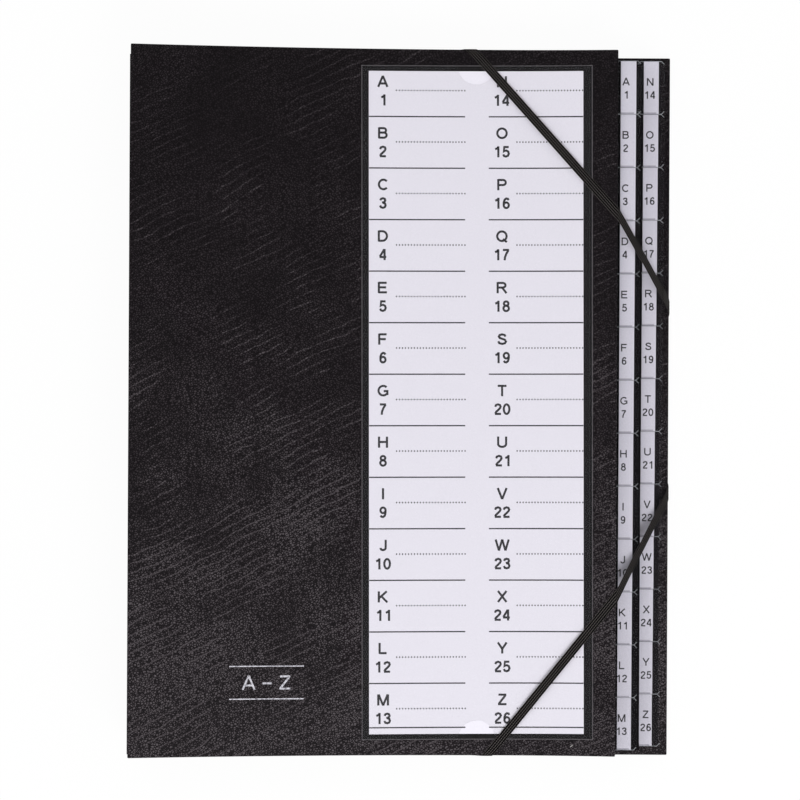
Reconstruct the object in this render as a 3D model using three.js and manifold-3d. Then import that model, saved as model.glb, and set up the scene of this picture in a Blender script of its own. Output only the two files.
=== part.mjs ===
// Alphabetical desk sorter, lying closed on its back cover.
// Millimetres, +Z up, spine at -X, tabs at +X, top of the printed index at +Y.
// Two leatherette-covered boards and a spine board hold twenty-six card dividers,
// which sit in the pleats of a concertina gusset. Each divider has a laminated film
// tab, stepped down the free edge in two columns. A clear pocket on the front cover
// holds an index card, and two flat elastics hold the free corners down.
import * as THREE from 'three';
import { mergeVertices } from 'three/addons/utils/BufferGeometryUtils.js';
import Module from 'manifold-3d';

// Driving dimensions: dividers and tabs
const LETTERS = [...'abcdefghijklmnopqrstuvwxyz'];
const COLUMNS = 2;
const TAB_PITCH = 24.5; // height of one tab row along the free edge
const TAB_LAP = 0.2; // how far a tab's lower end lies over the next row
const TAB_DEPTH = 10.4; // from the divider's card edge to the film's outer edge
const TAB_CHAMFER = 1.4; // corners cut off the film
const TAB_FILM = 0.3; // thickness of the laminated film
const LABEL_WIDTH = 7.3; // paper label sealed in the film
const LABEL_RISE = 0.12; // how far the label lifts the film
const LABEL_MARGIN = 0.9; // film left round the label's ends
const COLUMN_PITCH = 11.6; // from the first column's card edge to the second's
const CARD = 0.3; // divider card thickness

// Driving dimensions: covers
const BOARD = 2.6; // covered board thickness
const FRONT_WIDTH = 222.8; // spine's outer face to the front cover's free edge
const COVER_MARGIN = 3.25; // cover beyond the dividers at top and bottom
const BACK_MARGIN = 3.3; // back cover beyond the outer tabs
const FRONT_SHIFT = 1.5; // the front cover sits this much nearer the top
const EDGE_ROUND = 0.8; // rounding of the front cover's free edge
const END_ROUND = 0.5; // rounding of the other covered board edges
const CORNER_ROUND = 1.6; // rounding of the back cover's corners in plan

// Driving dimensions: how the stack of dividers is squeezed
const VALLEY_X = 175; // where the elastics press the stack thinnest
const VALLEY_PITCH = 0.604; // divider to divider there
const SPINE_PITCH = 1.279; // divider to divider in the gusset
const EDGE_PITCH = 0.731; // divider to divider at the free edge
const CURVE_STEPS = 9; // facets from the gusset to the valley
const LIFT_STEPS = 4; // facets from the valley to the free edge

// Driving dimensions: concertina gusset
const GUSSET_CLOTH = 0.15; // thickness of the gusset's cloth
const GUSSET_DEPTH = 5.6; // from its back, at the spine, to its front folds
const PLEAT_MOUTH = 0.8; // clear width of a pleat, which takes one divider
const DIVIDER_INSET = 1.3; // divider edge from the back of the gusset
const FOLD_STEPS = 4; // facets in each fold

// Driving dimensions: pocket and index card, placed from the front cover's free edge
const POCKET_WIDTH = 105.6;
const POCKET_HEIGHT = 309.6;
const POCKET_MARGIN = 11.3; // pocket's outer edge to the cover's free edge
const POCKET_FILM = 0.25;
const THUMB_RADIUS = 8.5; // half-moon thumb cuts in the film
const THUMB_OFFSET = 53.1; // thumb cuts' centre from the pocket's outer edge
const INDEX_WIDTH = 98.7;
const INDEX_HEIGHT = 305;
const INDEX_MARGIN = 3.9; // index card's edge to the pocket's outer edge
const INDEX_CARD = 0.25;
const LAYER_GAP = 0.25; // air between cover, card and film

// Driving dimensions: elastics
const BAND_WIDTH = 4;
const BAND_THICK = 0.8;
const SLOT_INSET = 11; // slots from the back cover's edges
const SLOT_PLAY = 0.35; // clear space round a band in its slot
const BAND_LIFT = 0.45; // air under a band where it leaves an edge
const TOP_BAND = { end: 155.6, free: 88.5, back: 46.9 };
const BOTTOM_BAND = { end: 164.3, free: -87.7, back: -40.8 };

// General clearance between neighbouring pieces
const CLEAR = 0.3;

// Sizes that follow
const COUNT = LETTERS.length;
const ROWS = COUNT / COLUMNS;
const LEAF_HEIGHT = ROWS * TAB_PITCH;
const COVER_HEIGHT = LEAF_HEIGHT + 2 * COVER_MARGIN;
const CARD_EDGE = FRONT_WIDTH + CLEAR;
const BACK_WIDTH = CARD_EDGE + (COLUMNS - 1) * COLUMN_PITCH + TAB_DEPTH + BACK_MARGIN;
const BACK_BOTTOM = BAND_THICK + CLEAR;
const BACK_TOP = BACK_BOTTOM + BOARD;
const STACK_BASE = BACK_TOP + CLEAR;
const GUSSET_BACK = BOARD + CLEAR;
const GUSSET_FRONT = GUSSET_BACK + GUSSET_DEPTH;
const FRONT_END = COVER_HEIGHT / 2;
const POCKET_RIGHT = FRONT_WIDTH - POCKET_MARGIN;
const POCKET_LEFT = POCKET_RIGHT - POCKET_WIDTH;
const INDEX_RIGHT = POCKET_RIGHT - INDEX_MARGIN;
const INDEX_LEFT = INDEX_RIGHT - INDEX_WIDTH;
const INDEX_BOTTOM_Z = LAYER_GAP;
const INDEX_TOP_Z = INDEX_BOTTOM_Z + INDEX_CARD;
const POCKET_TOP_Z = INDEX_TOP_Z + LAYER_GAP + POCKET_FILM;

const wasm = await Module();
wasm.setup();

const sorter = new THREE.Group();

const leatherette = { color: 0x2a2629, roughness: 0.55, metalness: 0 };
const blackCard = { color: 0x1c1a1c, roughness: 0.85, metalness: 0 };
const blackCloth = { color: 0x161517, roughness: 0.95, metalness: 0 };
const labelFilm = { color: 0xd3d0dc, roughness: 0.35, metalness: 0 };
const whiteCard = { color: 0xe4e2ec, roughness: 0.8, metalness: 0 };
const clearFilm = { color: 0xb9bcc2, roughness: 0.15, metalness: 0 };
const braid = { color: 0x231f20, roughness: 0.9, metalness: 0 };

function add(name, geometry, look) {
  const mesh = new THREE.Mesh(geometry, new THREE.MeshStandardMaterial(look));
  mesh.name = name;
  sorter.add(mesh);
  return mesh;
}

function toSolid(geometry) {
  const bare = geometry.clone();
  bare.deleteAttribute('normal');
  bare.deleteAttribute('uv');
  const merged = mergeVertices(bare, 1e-4);
  return new wasm.Manifold(
    new wasm.Mesh({
      numProp: 3,
      vertProperties: merged.attributes.position.array,
      triVerts: new Uint32Array(merged.index.array),
    }),
  );
}

function toGeometry(solid) {
  const mesh = solid.getMesh();
  const geometry = new THREE.BufferGeometry();
  geometry.setAttribute('position', new THREE.BufferAttribute(mesh.vertProperties, 3));
  geometry.setIndex(new THREE.BufferAttribute(mesh.triVerts, 1));
  geometry.computeVertexNormals();
  return geometry;
}

// How the stack is squeezed

// Distance from one divider to the next, x from the spine's outer face.
function pitchAt(x) {
  if (x < VALLEY_X) {
    const u = (VALLEY_X - x) / (VALLEY_X - GUSSET_FRONT);
    return VALLEY_PITCH + (SPINE_PITCH - VALLEY_PITCH) * u * u;
  }
  const v = (Math.min(x, FRONT_WIDTH) - VALLEY_X) / (FRONT_WIDTH - VALLEY_X);
  return VALLEY_PITCH + (EDGE_PITCH - VALLEY_PITCH) * v * v;
}

// The bends lie at the same places in every sheet, so that neighbours stay parallel.
function bendPlaces() {
  const places = [0, GUSSET_FRONT];
  for (let i = 1; i <= CURVE_STEPS; i += 1) {
    places.push(GUSSET_FRONT + ((VALLEY_X - GUSSET_FRONT) * i) / CURVE_STEPS);
  }
  for (let i = 1; i <= LIFT_STEPS; i += 1) {
    places.push(VALLEY_X + ((FRONT_WIDTH - VALLEY_X) * i) / LIFT_STEPS);
  }
  return places;
}
const BENDS = bendPlaces();

// The same distance along straight facets between the bends.
function facetPitch(x) {
  const next = BENDS.findIndex((place) => place > x);
  if (next < 1) return pitchAt(FRONT_WIDTH);
  const before = BENDS[next - 1];
  const share = (x - before) / (BENDS[next] - before);
  return pitchAt(before) + (pitchAt(BENDS[next]) - pitchAt(before)) * share;
}

function leafZ(index, x) {
  const level = COUNT - index - 0.5;
  return STACK_BASE + level * facetPitch(Math.max(x, GUSSET_FRONT));
}

function coverBottomZ(x) {
  return STACK_BASE + COUNT * facetPitch(x) + CLEAR;
}

function coverTopZ(x) {
  return coverBottomZ(x) + BOARD;
}

function stationsBetween(x0, x1) {
  return [x0, ...BENDS.filter((place) => place > x0 && place < x1), x1];
}

// A sheet that follows the bends: its section in X and Z, drawn out along Y.
function extrudeAlongY(points, y0, y1, bevel = 0) {
  const shape = new THREE.Shape(points.map(([x, z]) => new THREE.Vector2(x, z)));
  const geometry = new THREE.ExtrudeGeometry(shape, {
    depth: y1 - y0 - 2 * bevel,
    bevelEnabled: bevel > 0,
    bevelThickness: bevel,
    bevelSize: bevel,
    bevelOffset: -bevel,
    bevelSegments: 2,
  });
  return geometry.rotateX(Math.PI / 2).translate(0, y1 - bevel, 0);
}

function bentSheet(x0, x1, lower, upper, y0, y1) {
  const xs = stationsBetween(x0, x1);
  const below = xs.map((x) => [x, lower(x)]);
  const above = xs.map((x) => [x, upper(x)]).reverse();
  return extrudeAlongY([...below, ...above], y0, y1);
}

// Covers

// A quarter of the rounded edge, from angle a0 to a1 in degrees.
function edgeArc(cx, cz, a0, a1) {
  const steps = 3;
  const points = [];
  for (let i = 0; i <= steps; i += 1) {
    const a = THREE.MathUtils.degToRad(a0 + ((a1 - a0) * i) / steps);
    points.push([cx + EDGE_ROUND * Math.cos(a), cz + EDGE_ROUND * Math.sin(a)]);
  }
  return points;
}

function frontCover() {
  const inner = FRONT_WIDTH - EDGE_ROUND;
  const xs = stationsBetween(0, inner).slice(0, -1);
  const below = xs.map((x) => [x, coverBottomZ(x)]);
  const above = xs.map((x) => [x, coverTopZ(x)]).reverse();
  const nose = [
    ...edgeArc(inner, coverBottomZ(inner) + EDGE_ROUND, -90, 0),
    ...edgeArc(inner, coverTopZ(inner) - EDGE_ROUND, 0, 90),
  ];
  const profile = [...below, ...nose, ...above];
  const low = FRONT_SHIFT - FRONT_END;
  return extrudeAlongY(profile, low, low + COVER_HEIGHT, END_ROUND);
}

function roundedRectangle(x0, x1, y0, y1, r) {
  const shape = new THREE.Shape();
  shape.moveTo(x0, y0);
  shape.lineTo(x1 - r, y0);
  shape.absarc(x1 - r, y0 + r, r, -Math.PI / 2, 0);
  shape.lineTo(x1, y1 - r);
  shape.absarc(x1 - r, y1 - r, r, 0, Math.PI / 2);
  shape.lineTo(x0, y1);
  shape.closePath();
  return shape;
}

function backCover(slots) {
  const outline = roundedRectangle(0, BACK_WIDTH, -FRONT_END, FRONT_END, CORNER_ROUND);
  const board = new THREE.ExtrudeGeometry(outline, {
    depth: BOARD - 2 * END_ROUND,
    bevelThickness: END_ROUND,
    bevelSize: END_ROUND,
    bevelOffset: -END_ROUND,
    bevelSegments: 2,
    curveSegments: 3,
  }).translate(0, 0, BACK_BOTTOM + END_ROUND);
  let solid = toSolid(board);
  for (const slot of slots) {
    const cut = new THREE.BoxGeometry(slot.lengthX, slot.lengthY, 3 * BOARD);
    cut.translate(slot.x, slot.y, BACK_BOTTOM + BOARD / 2);
    solid = solid.subtract(toSolid(cut));
  }
  return toGeometry(solid);
}

function spineCover() {
  const height = coverBottomZ(BOARD) - CLEAR - STACK_BASE;
  const depth = COVER_HEIGHT - 2 * COVER_MARGIN;
  const board = new THREE.BoxGeometry(BOARD, depth, height);
  return board.translate(BOARD / 2, 0, STACK_BASE + height / 2);
}

// Concertina gusset: one folded strip, seen from its end as a serpentine.
// Mouths open towards the dividers, folds between them show their round side.
function pleatLine(side) {
  const wide = (PLEAT_MOUTH + GUSSET_CLOTH) / 2;
  const tight = (SPINE_PITCH - PLEAT_MOUTH - GUSSET_CLOTH) / 2;
  const backX = GUSSET_BACK + GUSSET_CLOTH / 2 + wide;
  const frontX = GUSSET_FRONT - GUSSET_CLOTH / 2 - tight;
  const points = [];
  const fold = (cx, cz, r, turn) => {
    for (let i = 0; i <= FOLD_STEPS; i += 1) {
      const a = -Math.PI / 2 + (turn * Math.PI * i) / FOLD_STEPS;
      points.push([cx + r * Math.cos(a), cz + r * Math.sin(a)]);
    }
  };
  const reach = (side * GUSSET_CLOTH) / 2;
  for (let index = COUNT - 1; index >= 0; index -= 1) {
    const z = leafZ(index, GUSSET_FRONT);
    if (points.length === 0) points.push([GUSSET_FRONT, z - wide + reach]);
    fold(backX, z, wide - reach, -1);
    if (index > 0) fold(frontX, z + SPINE_PITCH / 2, tight + reach, 1);
    else points.push([GUSSET_FRONT, z + wide - reach]);
  }
  return points;
}

function spineGusset() {
  const outline = [...pleatLine(1), ...pleatLine(-1).reverse()];
  return extrudeAlongY(outline, -LEAF_HEIGHT / 2, LEAF_HEIGHT / 2);
}

// Dividers and tabs

function cardEdge(index) {
  return CARD_EDGE + Math.floor(index / ROWS) * COLUMN_PITCH;
}

function divider(index) {
  const half = CARD / 2;
  const low = (x) => leafZ(index, x) - half;
  const high = (x) => leafZ(index, x) + half;
  const start = GUSSET_BACK + DIVIDER_INSET;
  return bentSheet(start, cardEdge(index), low, high, -LEAF_HEIGHT / 2, LEAF_HEIGHT / 2);
}

// A film plate with its outer corners cut, thicker where the label is sealed in.
function tab(index) {
  const x0 = cardEdge(index) + CLEAR;
  const x1 = cardEdge(index) + TAB_DEPTH;
  const top = LEAF_HEIGHT / 2 - (index % ROWS) * TAB_PITCH;
  const last = index % ROWS === ROWS - 1;
  const low = top - TAB_PITCH - (last ? 0 : TAB_LAP);
  const base = leafZ(index, FRONT_WIDTH) - TAB_FILM / 2;
  const plate = new THREE.Shape();
  plate.moveTo(x0, low);
  plate.lineTo(x1 - TAB_CHAMFER, low);
  plate.lineTo(x1, low + TAB_CHAMFER);
  plate.lineTo(x1, top - TAB_CHAMFER);
  plate.lineTo(x1 - TAB_CHAMFER, top);
  plate.lineTo(x0, top);
  plate.closePath();
  const film = new THREE.ExtrudeGeometry(plate, { depth: TAB_FILM, bevelEnabled: false });
  film.translate(0, 0, base);
  const length = top - low - 2 * LABEL_MARGIN;
  const height = TAB_FILM + LABEL_RISE - CARD / 3;
  const label = new THREE.BoxGeometry(LABEL_WIDTH, length, height);
  label.translate(x0 + CLEAR + LABEL_WIDTH / 2, (top + low) / 2, base + CARD / 3 + height / 2);
  return toGeometry(toSolid(film).add(toSolid(label)));
}

function tabTopZ(index) {
  return leafZ(index, FRONT_WIDTH) + TAB_FILM / 2 + LABEL_RISE;
}

// Pocket and index card

function above(rise) {
  return (x) => coverTopZ(x) + rise;
}

function indexCard() {
  const low = FRONT_SHIFT - INDEX_HEIGHT / 2;
  const lower = above(INDEX_BOTTOM_Z);
  const upper = above(INDEX_TOP_Z);
  return bentSheet(INDEX_LEFT, INDEX_RIGHT, lower, upper, low, low + INDEX_HEIGHT);
}

// One film, welded down round its edge, with the space for the card left under it.
function cardPocket() {
  const low = FRONT_SHIFT - POCKET_HEIGHT / 2;
  const high = low + POCKET_HEIGHT;
  const outside = bentSheet(
    POCKET_LEFT,
    POCKET_RIGHT,
    above(LAYER_GAP),
    above(POCKET_TOP_Z),
    low,
    high,
  );
  const room = bentSheet(
    INDEX_LEFT - CLEAR,
    INDEX_RIGHT + CLEAR,
    above(-BOARD),
    above(POCKET_TOP_Z - POCKET_FILM),
    FRONT_SHIFT - INDEX_HEIGHT / 2 - CLEAR,
    FRONT_SHIFT + INDEX_HEIGHT / 2 + CLEAR,
  );
  let solid = toSolid(outside).subtract(toSolid(room));
  for (const y of [low, high]) {
    const thumb = new THREE.CylinderGeometry(THUMB_RADIUS, THUMB_RADIUS, COVER_MARGIN * 9, 20);
    thumb.rotateX(Math.PI / 2);
    thumb.translate(POCKET_RIGHT - THUMB_OFFSET, y, coverTopZ(VALLEY_X));
    solid = solid.subtract(toSolid(thumb));
  }
  return toGeometry(solid);
}

// Elastics: flat bands lofted through a row of cross lines

// Each cross line has a left and a right end and the band's outward direction there.
function ribbon(lines) {
  const rings = lines.map(({ left, right, out }) => {
    const step = out.clone().normalize().multiplyScalar(BAND_THICK);
    return [left, right, right.clone().add(step), left.clone().add(step)];
  });
  const positions = rings.flat().flatMap((p) => [p.x, p.y, p.z]);
  const faces = [];
  const quad = (a, b, c, d) => faces.push(a, b, c, a, c, d);
  for (let i = 0; i + 1 < rings.length; i += 1) {
    for (let k = 0; k < 4; k += 1) {
      const next = (k + 1) % 4;
      quad(4 * i + k, 4 * i + 4 + k, 4 * i + 4 + next, 4 * i + next);
    }
  }
  const end = 4 * (rings.length - 1);
  quad(0, 1, 2, 3);
  quad(end + 3, end + 2, end + 1, end);
  const geometry = new THREE.BufferGeometry();
  geometry.setAttribute('position', new THREE.Float32BufferAttribute(positions, 3));
  geometry.setIndex(faces);
  geometry.computeVertexNormals();
  return geometry;
}

// The band's way: up from a slot, out under the back cover, round its end edge, up to
// the front cover's end edge, across the corner, and down over the tabs to the other slot.
// way is 1 for the top corner and -1 for the bottom one.
function cornerBand({ end, free, back }, way) {
  const frontEdge = FRONT_SHIFT + way * FRONT_END;
  const backEdge = way * FRONT_END;
  const run = new THREE.Vector2(FRONT_WIDTH - end, free - frontEdge).normalize();
  const halfX = BAND_WIDTH / 2 / Math.abs(run.y);
  const halfY = BAND_WIDTH / 2 / Math.abs(run.x);
  const lean = Math.abs(run.x / run.y);
  const drop = coverTopZ(end) - BACK_BOTTOM;
  const backX = end - drop * lean;
  const slotX = backX - SLOT_INSET * lean;
  const slotY = backEdge - way * SLOT_INSET;
  const inner = BACK_BOTTOM - CLEAR;
  const slotTop = BACK_TOP - CLEAR;
  const lines = [];
  const alongX = (x, y, z, oy, oz) =>
    lines.push({
      left: new THREE.Vector3(x + way * halfX, y, z),
      right: new THREE.Vector3(x - way * halfX, y, z),
      out: new THREE.Vector3(0, oy, oz),
    });
  const alongY = (x, y, z, ox, oz) =>
    lines.push({
      left: new THREE.Vector3(x, y + halfY, z),
      right: new THREE.Vector3(x, y - halfY, z),
      out: new THREE.Vector3(ox, 0, oz),
    });

  // In the slot the band's outer side faces the middle of the cover.
  const inSlot = slotY + (way * BAND_THICK) / 2;
  alongX(slotX, inSlot, slotTop, -way, 0);
  alongX(slotX, inSlot, BACK_BOTTOM, -way, 0);
  alongX(slotX, inSlot + way * CLEAR, inner, -way, -1);
  alongX(slotX + lean * BAND_THICK, inSlot + way * BAND_THICK, inner, 0, -1);
  // Round the back cover's end edge.
  alongX(backX, backEdge, inner, 0, -1);
  alongX(backX, backEdge + way * CLEAR, BACK_BOTTOM + CLEAR, way, -0.4);
  // Up to the front cover's end edge and over it.
  const lip = coverTopZ(end);
  alongX(end - lean, frontEdge + way * CLEAR, lip - END_ROUND, way, 0.4);
  alongX(end, frontEdge - way * CLEAR, lip + CLEAR, 0.3 * way, 1);
  // Over the pocket's edge.
  const pocketEdge = FRONT_SHIFT + way * (POCKET_HEIGHT / 2 + 1);
  const along = Math.abs(pocketEdge - frontEdge) * lean;
  const overPocket = coverTopZ(end + along) + POCKET_TOP_Z + CLEAR;
  alongX(end + along, pocketEdge, overPocket, 0, 1);
  // Off the free edge, over the outer edge of each tab column, and down.
  const freeZ = coverTopZ(FRONT_WIDTH) + BAND_LIFT;
  alongY(FRONT_WIDTH - EDGE_ROUND, free + way * EDGE_ROUND, freeZ, 0, 1);
  alongY(FRONT_WIDTH + CLEAR, free, freeZ - CLEAR, 0.7, 1);
  const slope = (back - free) / (BACK_WIDTH - FRONT_WIDTH);
  for (let column = 0; column < COLUMNS; column += 1) {
    const x = CARD_EDGE + column * COLUMN_PITCH + TAB_DEPTH + CLEAR;
    const y = free + slope * (x - FRONT_WIDTH);
    const row = Math.floor((LEAF_HEIGHT / 2 - y - halfY) / TAB_PITCH);
    const straight = freeZ - ((freeZ - BACK_TOP) * (x - FRONT_WIDTH)) / (BACK_WIDTH - FRONT_WIDTH);
    const seat = tabTopZ(column * ROWS + row) + CLEAR;
    alongY(x, y, Math.max(straight, seat), 0.7, 1);
  }
  alongY(BACK_WIDTH + CLEAR, back, BACK_TOP, 1, 0.4);
  alongY(BACK_WIDTH + CLEAR, back - way * BOARD, BACK_BOTTOM + CLEAR, 1, -0.4);
  alongY(BACK_WIDTH, back - way * (BOARD + CLEAR), inner, 0, -1);
  const freeSlotX = BACK_WIDTH - SLOT_INSET;
  const freeSlotY = back - way * (BOARD + SLOT_INSET / lean);
  const inFreeSlot = freeSlotX + BAND_THICK / 2;
  alongY(inFreeSlot + BAND_THICK, freeSlotY + way * BAND_THICK, inner, 0, -1);
  alongY(inFreeSlot + CLEAR, freeSlotY, inner, -1, -1);
  alongY(inFreeSlot, freeSlotY, BACK_BOTTOM, -1, 0);
  alongY(inFreeSlot, freeSlotY, slotTop, -1, 0);

  const slots = [
    {
      x: slotX,
      y: slotY,
      lengthX: 2 * (halfX + SLOT_PLAY),
      lengthY: BAND_THICK + 2 * SLOT_PLAY,
    },
    {
      x: freeSlotX,
      y: freeSlotY,
      lengthX: BAND_THICK + 2 * SLOT_PLAY,
      lengthY: 2 * (halfY + SLOT_PLAY),
    },
  ];
  return { geometry: ribbon(lines), slots };
}

// Assembly

const top = cornerBand(TOP_BAND, 1);
const bottom = cornerBand(BOTTOM_BAND, -1);
add('back_cover', backCover([...top.slots, ...bottom.slots]), leatherette);
add('front_cover', frontCover(), leatherette);
add('spine_cover', spineCover(), leatherette);
add('spine_gusset', spineGusset(), blackCloth);
add('index_card', indexCard(), whiteCard);
add('card_pocket', cardPocket(), clearFilm);
add('elastic_top', top.geometry, braid);
add('elastic_bottom', bottom.geometry, braid);
LETTERS.forEach((letter, index) => {
  add(`divider_${letter}`, divider(index), blackCard);
  add(`tab_${letter}`, tab(index), labelFilm);
});

// The origin is at the centre of the footprint, on the surface that it lies on.
const bounds = new THREE.Box3().setFromObject(sorter);
const centre = bounds.getCenter(new THREE.Vector3());
sorter.position.set(-centre.x, -centre.y, -bounds.min.z);

export default sorter;
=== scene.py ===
# %% [markdown]
# An alphabetical desk sorter, lying closed and seen from straight above.
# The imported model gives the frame, and boards, dividers, tabs and pocket take their
# places from it. Dividers, front cover, pocket and card follow one curve: high at the
# spine, low where the elastics press, and a little higher at the free edge.

# %% Load the frame
import math

import bmesh
import bpy
from mathutils import Matrix, Vector


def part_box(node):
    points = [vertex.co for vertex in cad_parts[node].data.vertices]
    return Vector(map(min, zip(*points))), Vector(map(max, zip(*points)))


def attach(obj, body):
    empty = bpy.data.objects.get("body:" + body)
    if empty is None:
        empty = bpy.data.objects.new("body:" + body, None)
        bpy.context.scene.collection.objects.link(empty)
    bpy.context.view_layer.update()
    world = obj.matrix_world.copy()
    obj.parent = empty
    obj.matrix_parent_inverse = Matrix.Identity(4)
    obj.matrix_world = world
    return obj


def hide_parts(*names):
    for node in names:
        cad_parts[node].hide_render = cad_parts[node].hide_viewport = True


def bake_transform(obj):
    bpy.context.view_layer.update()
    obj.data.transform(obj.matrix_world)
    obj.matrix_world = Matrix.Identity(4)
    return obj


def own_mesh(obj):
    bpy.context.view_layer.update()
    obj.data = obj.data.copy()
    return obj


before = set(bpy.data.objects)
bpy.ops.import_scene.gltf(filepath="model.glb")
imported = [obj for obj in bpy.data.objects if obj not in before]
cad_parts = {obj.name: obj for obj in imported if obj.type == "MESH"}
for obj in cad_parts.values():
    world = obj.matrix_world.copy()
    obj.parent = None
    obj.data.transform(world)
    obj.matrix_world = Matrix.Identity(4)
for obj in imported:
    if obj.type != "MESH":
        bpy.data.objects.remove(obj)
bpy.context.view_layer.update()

MM = 0.001
LETTERS = "abcdefghijklmnopqrstuvwxyz"
ROWS = 13


def in_mm(values):
    return [round(v / MM, 1) for v in values]


print("nodes in the frame", len(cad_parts))

# %% [markdown]
# Places come from the boxes of the frame's nodes, in metres. The spine's outer face is
# where the stack's curve is measured from.

# %% Places read from the frame
front_low, front_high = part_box("front_cover")
back_low, back_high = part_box("back_cover")
spine_low, spine_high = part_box("spine_cover")
pocket_low, pocket_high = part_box("card_pocket")
index_low, index_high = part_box("index_card")
spine_x = back_low.x
free_x = front_high.x
back_mid_y = (back_low.y + back_high.y) / 2
board = back_high.z - back_low.z
print("front cover, mm", in_mm(front_high - front_low))

# %% [markdown]
# The stack's curve. Twenty-six dividers lie one over the other. The distance between them
# is largest in the gusset, smallest where the elastics press, and a little larger at the
# free edge, so each sheet's height is its level times that distance.

# %% The curve of the stack
COUNT = len(LETTERS)
CLEAR = 0.3 * MM
VALLEY_PITCH = 0.604 * MM
SPINE_PITCH = 1.279 * MM
EDGE_PITCH = 0.731 * MM
VALLEY = 175 * MM
valley_x = spine_x + VALLEY
gusset_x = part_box("spine_gusset")[1].x
stack_base = back_high.z + CLEAR


def pitch_at(x):
    if x < valley_x:
        share = (valley_x - x) / (valley_x - gusset_x)
        return VALLEY_PITCH + (SPINE_PITCH - VALLEY_PITCH) * share**2
    share = (min(x, free_x) - valley_x) / (free_x - valley_x)
    return VALLEY_PITCH + (EDGE_PITCH - VALLEY_PITCH) * share**2


def leaf_height(index, x):
    return stack_base + (COUNT - index - 0.5) * pitch_at(max(x, gusset_x))


def cover_height(x):
    return stack_base + COUNT * pitch_at(x) + CLEAR


def cover_top(x):
    return cover_height(x) + board


print("cover's top at both edges, mm", in_mm([cover_top(spine_x), cover_top(free_x)]))

# %% [markdown]
# Pieces. Each is made from a bmesh, gets its material and rides on its body, and hides
# the CAD nodes that it stands for.


# %% Pieces
def put(name, data):
    item = bpy.data.objects.new(name, data)
    bpy.context.scene.collection.objects.link(item)
    return item


def mesh_from(bm, name):
    bmesh.ops.recalc_face_normals(bm, faces=bm.faces)
    mesh = bpy.data.meshes.new(name)
    bm.to_mesh(mesh)
    bm.free()
    return mesh


def add_piece(name, bm, material, body, replaced=()):
    piece = put(name, mesh_from(bm, name))
    piece.data.materials.append(material)
    if body:
        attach(piece, body)
    if replaced:
        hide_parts(*replaced)
    return piece


def smooth(piece, degrees=40):
    """Smooth shading, but edges sharper than this many degrees stay sharp."""
    piece.data.shade_smooth()
    bm = bmesh.new()
    bm.from_mesh(piece.data)
    limit = math.radians(degrees)
    for edge in bm.edges:
        edge.smooth = edge.calc_face_angle(0) <= limit
    bm.to_mesh(piece.data)
    bm.free()
    return piece


def carve(piece, cutters):
    """Cuts the cutters' shapes out of a piece and leaves no modifier behind."""
    for bm in cutters:
        cutter = put("cutter", mesh_from(bm, "cutter"))
        cut = piece.modifiers.new("cut", "BOOLEAN")
        cut.operation = "DIFFERENCE"
        cut.solver = "EXACT"
        cut.object = cutter
        bpy.context.view_layer.update()
        evaluated = piece.evaluated_get(bpy.context.evaluated_depsgraph_get())
        carved = bpy.data.meshes.new_from_object(evaluated)
        piece.modifiers.remove(cut)
        piece.data = carved
        bpy.data.objects.remove(cutter)


print("piece helpers ready")

# %% [markdown]
# Shapes. Sheets and boards start as boxes. What bends is cut across first, and bending
# moves every vertex up or down by the height of the curve at its place.


# %% Shapes
def add_box(bm, low, high):
    low, high = Vector(low), Vector(high)
    verts = bmesh.ops.create_cube(bm, size=1)["verts"]
    bmesh.ops.scale(bm, vec=high - low, verts=verts)
    bmesh.ops.translate(bm, vec=(high + low) / 2, verts=verts)


def box_bmesh(low, high):
    bm = bmesh.new()
    add_box(bm, low, high)
    return bm


def bevel_edges(bm, edges, width, segments):
    bmesh.ops.bevel(
        bm, geom=edges, offset=width, offset_type="OFFSET", segments=segments,
        profile=0.5, affect="EDGES", material=-1, clamp_overlap=True)


def upright(edge):
    return abs((edge.verts[0].co - edge.verts[1].co).normalized().z) > 0.99


def slice_up(bm, start, end, count, axis):
    direction = Vector([float(i == axis) for i in range(3)])
    for i in range(1, count):
        geom = list(bm.verts) + list(bm.edges) + list(bm.faces)
        place = direction * (start + (end - start) * i / count)
        bmesh.ops.bisect_plane(bm, geom=geom, plane_co=place, plane_no=direction, dist=1e-7)


def cut_across(bm, x0, x1, step):
    slice_up(bm, x0, x1, max(1, round((x1 - x0) / step)), 0)


def bend(bm, height):
    for vertex in bm.verts:
        vertex.co.z += height(vertex.co.x)


def soft_board(low, high, corner, edge):
    """A board with rounded corners in plan and rounded edges."""
    bm = box_bmesh(low, high)
    bevel_edges(bm, [e for e in bm.edges if upright(e)], corner, 4)
    bevel_edges(bm, [e for e in bm.edges if not upright(e)], edge, 3)
    return bm


print("shape helpers ready")


# %% [markdown]
# Helpers for materials. Colours are written as sRGB hex values and turned to the linear
# values that the shader wants. One function adds the nodes, and the others build on it.


# %% Material helpers
def srgb(hex_code):
    channels = [int(hex_code[i:i + 2], 16) / 255 for i in (1, 3, 5)]
    return [c / 12.92 if c <= 0.04045 else ((c + 0.055) / 1.055) ** 2.4 for c in channels] + [1]


def add_node(tree, kind, links=None, sockets=None, **settings):
    """Adds a node with its settings, its sockets' values and the links into it."""
    node = tree.nodes.new(kind)
    for key, value in settings.items():
        setattr(node, key, value)
    for key, value in (sockets or {}).items():
        node.inputs[key].default_value = value
    for key, source in (links or {}).items():
        tree.links.new(source, node.inputs[key])
    return node


def new_material(name, **sockets):
    material = bpy.data.materials.new(name)
    material.use_nodes = True
    shader = material.node_tree.nodes["Principled BSDF"]
    for key, value in sockets.items():
        shader.inputs[key.replace("_", " ")].default_value = value
    return material, shader


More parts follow.
